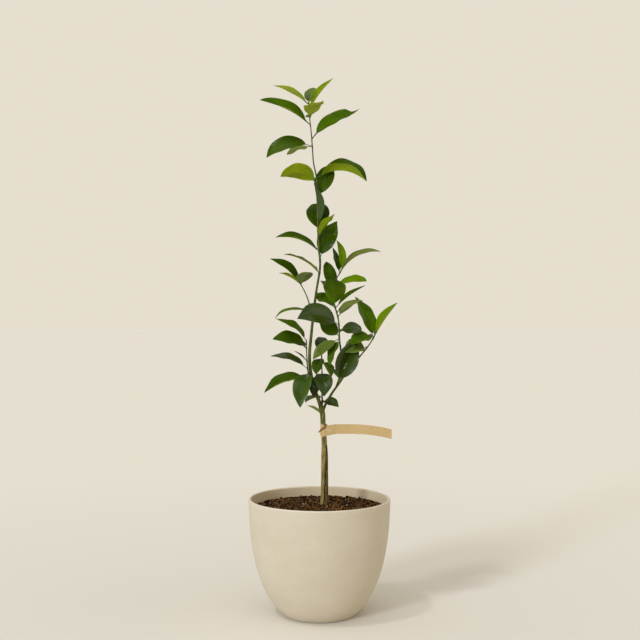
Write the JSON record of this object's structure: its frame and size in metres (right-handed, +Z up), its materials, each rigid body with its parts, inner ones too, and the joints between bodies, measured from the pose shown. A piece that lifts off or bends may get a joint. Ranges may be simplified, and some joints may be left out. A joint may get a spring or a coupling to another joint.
{
  "type": "potted mandarin tree",
  "caption": "Young grafted mandarin tree in a tapered round pot filled with soil: slender trunk, side boughs, glossy oval leaves on thin shoots and a blank paper tag looped round it.",
  "frame": {"origin": "centre of the pot's flat underside", "axes": "+Z up along the pot's axis to the tree's tip, +X to the right and +Y to the back as the tree is seen from the front"},
  "size_m": [0.2669, 0.254, 0.9577],
  "materials": {
    "stone": "matt cast stone",
    "soil": "rough and crumbly",
    "bark": "streaked young bark",
    "leaf": "glossy above, paler below",
    "paper": "matt kraft"
  },
  "bodies": {
    "root": {"pot": "stone", "soil": "soil", "trunk": "bark", "right_bough": "bark", "centre_bough": "bark", "leader_foliage": "leaf", "left_upper_foliage": "leaf", "left_lower_foliage": "leaf", "inner_foliage": "leaf", "centre_foliage": "leaf", "right_foliage": "leaf", "tag": "paper"}
  },
  "joints": []
}
